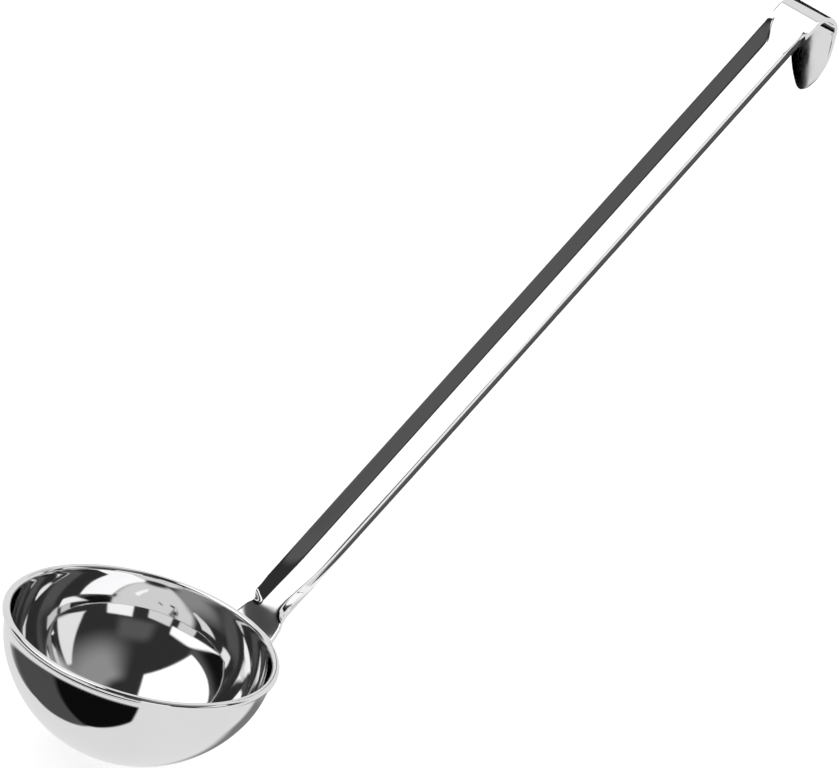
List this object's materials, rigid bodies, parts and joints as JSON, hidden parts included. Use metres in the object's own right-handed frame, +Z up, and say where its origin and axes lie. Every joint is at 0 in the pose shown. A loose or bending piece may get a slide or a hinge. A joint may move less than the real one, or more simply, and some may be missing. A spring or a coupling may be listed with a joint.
{
  "type": "soup ladle",
  "caption": "Soup ladle with a deep round bowl, a rolled rim and a long pressed sheet-steel handle that ends in a hanging hook.",
  "frame": {"origin": "centre of the small flat on the underside of the bowl", "axes": "+Z up along the bowl's axis, the rim lies level; the handle leans towards +X; the XZ plane is the mirror plane of the ladle"},
  "size_m": [0.2951, 0.1, 0.2888],
  "materials": {
    "bowl_steel": "mirror-polished stainless steel",
    "handle_steel": "mirror-polished stainless steel",
    "weld_steel": "dull ring left by the spot weld"
  },
  "bodies": {
    "root": {"bowl": "bowl_steel", "handle": "handle_steel", "spot_welds": "weld_steel"}
  },
  "joints": []
}
